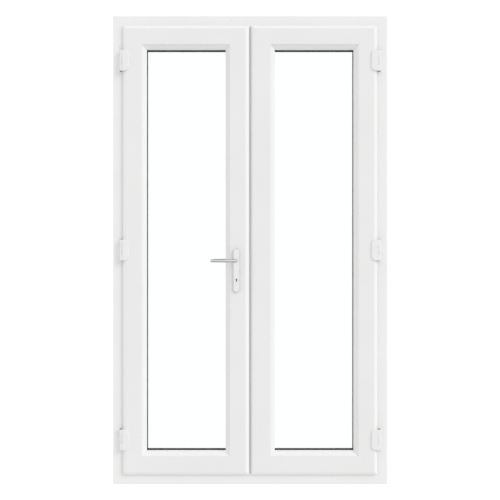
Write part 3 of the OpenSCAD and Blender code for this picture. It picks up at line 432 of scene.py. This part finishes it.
def pick_edges(obj, chosen):
    """Selects, in edit mode, the edges for which a test of their two ends holds."""
    bpy.ops.mesh.select_all(action="DESELECT")
    shape = bmesh.from_edit_mesh(obj.data)
    for edge in shape.edges:
        if chosen(edge.verts[0].co, edge.verts[1].co):
            edge.select_set(True)
    bmesh.update_edit_mesh(obj.data)


def move_picked(obj, place_of):
    """Moves the selected corners, in edit mode, to where a function of their place puts them."""
    shape = bmesh.from_edit_mesh(obj.data)
    for vert in shape.verts:
        if vert.select:
            vert.co.xy = place_of(vert.co.xy)
    bmesh.update_edit_mesh(obj.data)


def at_front(normal, middle):
    return normal.z > 0.9


def at_back(normal, middle):
    return normal.z < -0.9


def step_in(by, rise=0):
    bpy.ops.mesh.inset(thickness=by * MM, depth=rise * MM)


def draw_out(by):
    bpy.ops.mesh.extrude_region_move(TRANSFORM_OT_translate={"value": [step * MM for step in by]})


def round_picked(by, segments=3):
    bpy.ops.mesh.bevel(offset=by * MM, segments=segments, affect="EDGES")


def turn_outwards():
    bpy.ops.mesh.select_all(action="SELECT")
    bpy.ops.mesh.normals_make_consistent(inside=False)


def close_piece(obj, smooth=None):
    """Ends the editing; edges flatter than the angle are shaded smooth."""
    bpy.ops.object.mode_set(mode="OBJECT")
    if smooth:
        bpy.ops.object.shade_smooth_by_angle(angle=math.radians(smooth))
    return obj


def one_piece(parts):
    start_clean()
    for part in parts:
        part.select_set(True)
    bpy.context.view_layer.objects.active = parts[0]
    bpy.ops.object.join()
    return bpy.context.view_layer.objects.active


def facing(direction, place):
    """Matrix that turns +Z to the direction and moves to the place, in millimetres."""
    turn = Vector((0, 0, 1)).rotation_difference(Vector(direction)).to_matrix().to_4x4()
    return Matrix.Translation(Vector(place) * MM) @ turn


def scatter(model, spots):
    """Copies of a model at (place, direction) pairs as one mesh; the model itself is dropped."""
    twins = []
    for place, direction in spots:
        twin = model.copy()
        twin.data = model.data.copy()
        twin.data.transform(facing(direction, place))
        bpy.context.scene.collection.objects.link(twin)
        twins.append(twin)
    bpy.data.objects.remove(model)
    return one_piece(twins)


def finish_piece(obj, name, finish, body):
    obj.name = obj.data.name = name
    obj.data.materials.clear()
    obj.data.materials.append(finish)
    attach(obj, body)
    return obj


# Seals, glazing gaskets and spacer bars
def rubber_ring(low, high, width, round_back=False):
    """A mitred rubber strip round a rectangle, with a rounded lip on the side that it seals against."""
    ring = ring_blank(low, high, width)
    lip_y = high[1] if round_back else low[1]
    pick_edges(ring, lambda one, two: all(abs(end.y - lip_y * MM) < 0.01 * MM for end in (one, two))
               and not all(abs(a - b) > 1 * MM for a, b in zip(one.xz, two.xz)))
    round_picked(min(high[1] - low[1], width / 2) * SEAL_ROUND, segments=4)
    return close_piece(ring, smooth=40)


def seal_between(node, width, low_y, high_y, round_back=False):
    """A seal on the outline of its CAD node, between two depths."""
    low, high = corners(node)
    return rubber_ring((low.x, low_y, low.z), (high.x, high_y, high.z), width, round_back)


def meeting_strip(low, high):
    """The upright rubber strip behind the mullion cover, its front edges rounded."""
    strip = block_blank(low, high)
    pick_edges(strip, lambda one, two: all(abs(end.y - low[1] * MM) < 0.01 * MM for end in (one, two))
               and abs(one.z - two.z) > 1 * MM)
    round_picked(MEETING_EDGE, segments=4)
    return close_piece(strip, smooth=40)


def spacer_bar(node):
    """The bar between two panes, with a sunk band all round on the side that faces the glass."""
    low, high = corners(node)
    middle = (low + high) / 2 * MM
    bar = ring_blank(low, high, SPACER_W)
    pick_faces(bar, lambda normal, place: abs(normal.y) < 0.1 and normal.dot(middle - place) > 0)
    step_in(SPACER_BAND, -SPACER_SINK)
    return close_piece(bar)


frame_ring = finish_piece(seal_between("frame_seal", FRAME_SEAL_W, SASH_OUT + SEAL_OFF, LIP_Y),
                          "frame_bulb_seal", rubber, "outer_frame")
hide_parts("frame_seal")
active_ring = seal_between("active_seal", LEAF_SEAL_W, FLANGE_Y, FRAME_IN - SEAL_OFF, round_back=True)
finish_piece(active_ring, "active_bulb_seal", rubber, "active_leaf")
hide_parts("active_seal")

# The passive leaf's seal mirrors the active one, with the strip under the mullion cover beside it
active_low, active_high = corners("active_seal")
strip_low, strip_high = corners("passive_seal")
passive_ring = rubber_ring((-active_high.x, FLANGE_Y, active_low.z),
                           (-active_low.x, FRAME_IN - SEAL_OFF, active_high.z), LEAF_SEAL_W, round_back=True)
strip = meeting_strip((strip_low.x, SASH_OUT + SEAL_OFF, COVER_FOOT_Z),
                      (strip_low.x + LEAF_SEAL_W, strip_high.y, FRAME_H - COVER_FOOT_Z))
passive_seals = finish_piece(one_piece([passive_ring, strip]), "passive_bulb_seals", rubber, "passive_leaf")
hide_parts("passive_seal")

for leaf in ("active", "passive"):
    low, high = corners(leaf + "_glazing_gaskets")
    glass_low, glass_high = corners(leaf + "_panes")
    lips = one_piece([rubber_ring(low, (high.x, glass_low.y, high.z), GASKET_W, round_back=True),
                      rubber_ring((low.x, glass_high.y, low.z), high, GASKET_W)])
    finish_piece(lips, leaf + "_glazing_lips", rubber, leaf + "_leaf")
    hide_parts(leaf + "_glazing_gaskets")
    bar = finish_piece(spacer_bar(leaf + "_spacer"), leaf + "_spacer_bar", spacer_grey, leaf + "_leaf")
    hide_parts(leaf + "_spacer")


# Fittings, modelled with their outer face towards +Z and then turned to where they face
TOWARDS_PASSIVE, TOWARDS_ACTIVE = (1, 0, 0), (-1, 0, 0)
TOWARDS_ROOM, TOWARDS_OUTSIDE = (0, -1, 0), (0, 1, 0)


def cross_recess_screw(radius, arm, recess):
    """Countersunk head, its flat face on z = 0, with a cross recess cut into its slight crown."""
    def onto_cross(place):
        angle = math.atan2(place.y, place.x) % (math.pi / 2)
        angle = min(angle, math.pi / 2 - angle)
        reach = min(arm / math.cos(angle), ARM_HALF_W * arm / max(math.sin(angle), 1e-6))
        return place.normalized() * reach * MM

    screw = round_blank(radius, -HEAD_T, 0, sides=40)
    pick_faces(screw, at_front)
    step_in(HEAD_RIM, HEAD_CROWN)
    step_in(RECESS_IN * radius)
    move_picked(screw, onto_cross)
    draw_out((0, 0, -recess))
    turn_outwards()
    return close_piece(screw)


def mushroom_cam(neck_l):
    """Locking cam with a crowned head and a hexagon socket; the top of its head on z = 0."""
    def onto_hexagon(place):
        angle = math.atan2(place.y, place.x) % (math.pi / 3) - math.pi / 6
        return place.normalized() * SOCKET_ACROSS / 2 / math.cos(angle) * MM

    cam = round_blank(CAM_HEAD_R, -CAM_HEAD_T, -CAM_CROWN, sides=48)
    pick_faces(cam, at_front)
    step_in(2 * CAM_CROWN, CAM_CROWN)
    step_in(CAM_HEAD_R - 2 * CAM_CROWN - SOCKET_RIM_R)
    move_picked(cam, onto_hexagon)
    draw_out((0, 0, -SOCKET_DEPTH))
    pick_faces(cam, at_back)
    step_in(CAM_HEAD_R - CAM_NECK_R)
    draw_out((0, 0, -neck_l))
    turn_outwards()
    return close_piece(cam, smooth=35)


def turned_ring(outer_r, inner_r, thick, edge):
    """A ring on z = 0 to thick, its outer front edge rounded."""
    ring = round_blank(outer_r, 0, thick)
    pick_faces(ring, lambda normal, middle: abs(normal.z) > 0.9)
    bpy.ops.mesh.inset(thickness=(outer_r - inner_r) * MM, use_individual=True)
    bpy.ops.mesh.delete(type="FACE")
    pick_edges(ring, lambda one, two: max(one.xy.length, two.xy.length) < (inner_r + 0.05) * MM)
    bpy.ops.mesh.bridge_edge_loops()
    turn_outwards()
    pick_edges(ring, lambda one, two: all(end.z > 0.9 * thick * MM and end.xy.length > (outer_r - 0.05) * MM
                                          for end in (one, two)))
    round_picked(edge)
    return close_piece(ring, smooth=35)


def barrel_cap():
    """Plastic plug in a hinge barrel: a rimmed disc on z = 0 with its stem below."""
    cap = round_blank(CAP_R, 0, CAP_STANDS)
    pick_faces(cap, at_front)
    step_in(*CAP_RIM)
    step_in(*CAP_DISH)
    pick_faces(cap, at_back)
    step_in(CAP_R - CAP_STEM_R)
    draw_out((0, 0, -CAP_STEM_L))
    turn_outwards()
    return close_piece(cap, smooth=35)


def closing_lip(width, length, thick):
    """A lip that closes a slot or a gap, its front on z = 0 and the two front edges along y rounded."""
    lip = block_blank((-width / 2, -length / 2, -thick), (width / 2, length / 2, 0))
    pick_edges(lip, lambda one, two: abs(one.y - two.y) > length / 2 * MM
               and min(one.z, two.z) > -0.01 * MM)
    round_picked(LIP_EDGE)
    return close_piece(lip, smooth=35)


def keyway_shade_plate():
    """A near black plate just inside the keyway, painted shade for the keyway's depth: a round top with a slot
    below it, on z = 0 and under, each sunk inside its rim."""
    def sunk(part, rim, sink):
        pick_faces(part, at_front)
        step_in(rim)
        draw_out((0, 0, -sink))
        return close_piece(part)

    top = sunk(round_blank(KEYHOLE_R, -SHADE_PLATE_T, 0, sides=40, up=KEYHOLE_UP), *TOP_RIM_AND_SINK)
    slot = sunk(block_blank((-KEYHOLE_HALF_SLOT, KEYHOLE_FOOT, -SHADE_PLATE_T), (KEYHOLE_HALF_SLOT, KEYHOLE_UP, 0)),
                *SLOT_RIM_AND_SINK)
    return one_piece([top, slot])


def barrel_ends(off):
    """Places and directions of the two ends of all six hinge barrels, this far from their middles."""
    return [((side * HINGE_X, HINGE_Y, z + up * off), (0, 0, up))
            for side in (-1, 1) for z in HINGE_HEIGHTS for up in (-1, 1)]


faceplate_screws = scatter(cross_recess_screw(*FACEPLATE_SCREW), [
    ((LOCK_EDGE_X + CLEAR, GROOVE_Y, z), TOWARDS_PASSIVE) for z in FACEPLATE_SCREW_HEIGHTS])
finish_piece(faceplate_screws, "faceplate_screws", lock_steel, "active_leaf")

keep_screws = scatter(cross_recess_screw(*SMALL_SCREW), [
    ((MULLION_X - KEEP_T - CLEAR, GROOVE_Y + outward, z + upward), TOWARDS_ACTIVE)
    for z in CAM_HEIGHTS for outward, upward in KEEP_SCREWS])
finish_piece(keep_screws, "keep_screws", lock_steel, "passive_leaf")

bolt_case_screws = scatter(cross_recess_screw(*SMALL_SCREW), [
    ((MULLION_X - CLEAR, BOLT_Y, height), TOWARDS_ACTIVE)
    for z in BOLT_CASE_SCREW_HEIGHTS for height in (z, FRAME_H - z)])
finish_piece(bolt_case_screws, "bolt_case_screws", lock_steel, "passive_leaf")

bolt_keep_screws = scatter(cross_recess_screw(*SMALL_SCREW), [
    ((BOLT_X + off, BOLT_Y, z), (0, 0, up))
    for off in (-BOLT_KEEP_SCREW_OFF, BOLT_KEEP_SCREW_OFF)
    for z, up in ((HEAD_REBATE_Z - CLEAR, -1), (FRAME_H - HEAD_REBATE_Z + CLEAR, 1))])
finish_piece(bolt_keep_screws, "bolt_keep_screws", lock_steel, "outer_frame")

cams_low, cams_high = corners("locking_cams")
mushroom_cams = scatter(mushroom_cam(cams_high.x - CAM_HEAD_T - cams_low.x), [
    ((cams_high.x, GROOVE_Y, z), TOWARDS_PASSIVE) for z in CAM_HEIGHTS])
finish_piece(mushroom_cams, "mushroom_cams", lock_steel, "drive_gear")
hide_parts("locking_cams")

collars = scatter(turned_ring(*LEVER_COLLAR), [
    ((SPINDLE_X, SASH_IN - PLATE_T + LET_IN, SPINDLE_Z), TOWARDS_ROOM),
    ((SPINDLE_X, SASH_OUT + PLATE_T - LET_IN, SPINDLE_Z), TOWARDS_OUTSIDE)])
finish_piece(collars, "lever_collars", handle_satin, "active_leaf")

washers = scatter(turned_ring(*HINGE_WASHER), barrel_ends(HINGE_KNUCKLE / 2 + CLEAR))
finish_piece(washers, "hinge_washers", hinge_white, "outer_frame")

end_caps = scatter(barrel_cap(), barrel_ends(HINGE_H / 2 + CLEAR))
finish_piece(end_caps, "hinge_end_caps", cap_black, "outer_frame")
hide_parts("hinge_pin_caps")

for side, leaf in ((-1, "active"), (1, "passive")):
    lips = scatter(closing_lip(SLOT_W, HINGE_KNUCKLE - 1, SLOT_LIP_T), [
        ((side * (HINGE_X - HINGE_PIN_R - SLOT_W / 2), SLOT_FRONT_Y, z), TOWARDS_ROOM) for z in HINGE_HEIGHTS])
    finish_piece(lips, leaf + "_hinge_slot_lips", hinge_white, leaf + "_leaf")

end_low, end_high = corners("mullion_end_caps")
pad_t = HEAD_REBATE_Z - PAD_GAP - end_high.z
end_pads = scatter(closing_lip(PAD_W, pad_t, PAD_D), [
    ((PAD_X, FRAME_IN + PAD_SINK, z), TOWARDS_ROOM)
    for z in (end_high.z + pad_t / 2, end_low.z - pad_t / 2)])
finish_piece(end_pads, "mullion_end_pads", upvc_upright, "passive_leaf")

# In each plug, a near black plate just behind its face is painted shade for the keyway's depth.
for side, outer_corner, outward in (("inner", 0, -1), ("outer", 1, 1)):
    face_y = corners(side + "_plug")[outer_corner].y - outward * KEYWAY_SHOW
    dark_plate = keyway_shade_plate()
    dark_plate.data.transform(Matrix.Translation(Vector((SPINDLE_X, face_y, CYLINDER_Z)) * MM)
                         @ Matrix.Rotation(math.radians(90), 4, "X")
                         @ Matrix.Rotation(math.radians(90 + 90 * outward), 4, "Y"))
    finish_piece(dark_plate, side + "_keyway_shade_plate", keyway_shade_black, side + "_key_plug")


# Studio, with the places of its lamp and its camera in metres
LIGHT_LEAN, LIGHT_BASE, LIGHT_SIDES = (-0.03, 0.03, 0.05), 0.794, 0.05
GLOSS_RISE, GLOSS_ABOVE_AND_BELOW = 0.1, (0.5, 0.8, 1.0, 0.28)
GLOSS_LEFT, GLOSS_RIGHT = (-0.95, -0.6, 0.45, 1.0), (0.75, 1.0, 1.0, 0.75)
KEY_POWER, KEY_SPREAD, KEY_FROM = 0.8, 26, (2.2, -1.5, 1.6)
CAMERA_AT, LENS, SENSOR_W = (-0.0009, -3.075, 1.0254), 50, 36


def studio_world():
    """White for the camera and through the glass; a soft even light on the doors; in their gloss,
    a bright band at eye level that is dimmer above, below and at the far left and right."""
    world = bpy.data.worlds.new("studio")
    bpy.context.scene.world = world
    world.use_nodes = True
    world.node_tree.nodes.clear()
    way = add_node(world, "ShaderNodeTexCoord").outputs["Generated"]
    axes = add_node(world, "ShaderNodeSeparateXYZ", {"Vector": way}).outputs
    lean = add_node(world, "ShaderNodeVectorMath", {0: way, 1: LIGHT_LEAN},
                    operation="DOT_PRODUCT").outputs["Value"]
    ahead = reckon(world, "MULTIPLY", axes["Y"], axes["Y"])
    even = reckon(world, "MULTIPLY_ADD", ahead, -LIGHT_SIDES, LIGHT_BASE + LIGHT_SIDES)
    soft = reckon(world, "ADD", lean, even)
    steep = reckon(world, "ABSOLUTE", reckon(world, "SUBTRACT", axes["Z"], GLOSS_RISE))
    band = fade(world, steep, *GLOSS_ABOVE_AND_BELOW, curve="SMOOTHSTEP")
    left = fade(world, axes["X"], *GLOSS_LEFT, curve="SMOOTHSTEP")
    right = fade(world, axes["X"], *GLOSS_RIGHT, curve="SMOOTHSTEP")
    gloss = reckon(world, "MULTIPLY", band, reckon(world, "MULTIPLY", left, right))
    path = add_node(world, "ShaderNodeLightPath").outputs
    lit = add_node(world, "ShaderNodeMix", {0: path["Is Glossy Ray"], 2: soft, 3: gloss}).outputs[0]
    seen = reckon(world, "MAXIMUM", path["Is Camera Ray"], path["Is Transmission Ray"])
    strength = add_node(world, "ShaderNodeMix", {0: seen, 2: lit, 3: BACKDROP_WHITE}).outputs[0]
    back = add_node(world, "ShaderNodeBackground", {"Color": (1, 1, 1, 1), "Strength": strength})
    add_node(world, "ShaderNodeOutputWorld", {"Surface": back.outputs["Background"]})


def key_light():
    """A far soft box at the upper right of the photographer."""
    lamp = bpy.data.lights.new("key", "SUN")
    lamp.angle = math.radians(KEY_SPREAD)
    lamp.energy = KEY_POWER
    box = bpy.data.objects.new("key", lamp)
    box.location = KEY_FROM
    box.rotation_euler = (-Vector(KEY_FROM)).to_track_quat("-Z", "Y").to_euler()
    box.visible_glossy = False
    bpy.context.scene.collection.objects.link(box)


def studio_floor():
    """A plain floor, as pale as the backdrop, that casts nothing on the doors."""
    start_clean()
    bpy.ops.mesh.primitive_plane_add(size=40, location=(0, 0, 0))
    floor = bpy.context.object
    floor.name = "studio_floor"
    mat, shader = plain_finish("pale_floor", 0.5)
    mat.node_tree.nodes.remove(shader)
    glow = add_node(mat, "ShaderNodeEmission", {"Color": (1, 1, 1, 1), "Strength": BACKDROP_WHITE})
    surface_of(mat, glow.outputs["Emission"])
    floor.data.materials.append(mat)
    floor.visible_diffuse = False
    floor.visible_glossy = False
    floor.visible_shadow = False


def photo_camera():
    """A 50 mm lens square to the doors, level with their middle, as the photograph was taken."""
    data = bpy.data.cameras.new("camera")
    data.lens, data.sensor_width = LENS, SENSOR_W
    camera = bpy.data.objects.new("camera", data)
    camera.location = CAMERA_AT
    camera.rotation_euler = (math.radians(90), 0, 0)
    bpy.context.scene.collection.objects.link(camera)
    bpy.context.scene.camera = camera


bpy.context.scene.view_settings.view_transform = "Standard"
studio_world()
key_light()
studio_floor()
photo_camera()
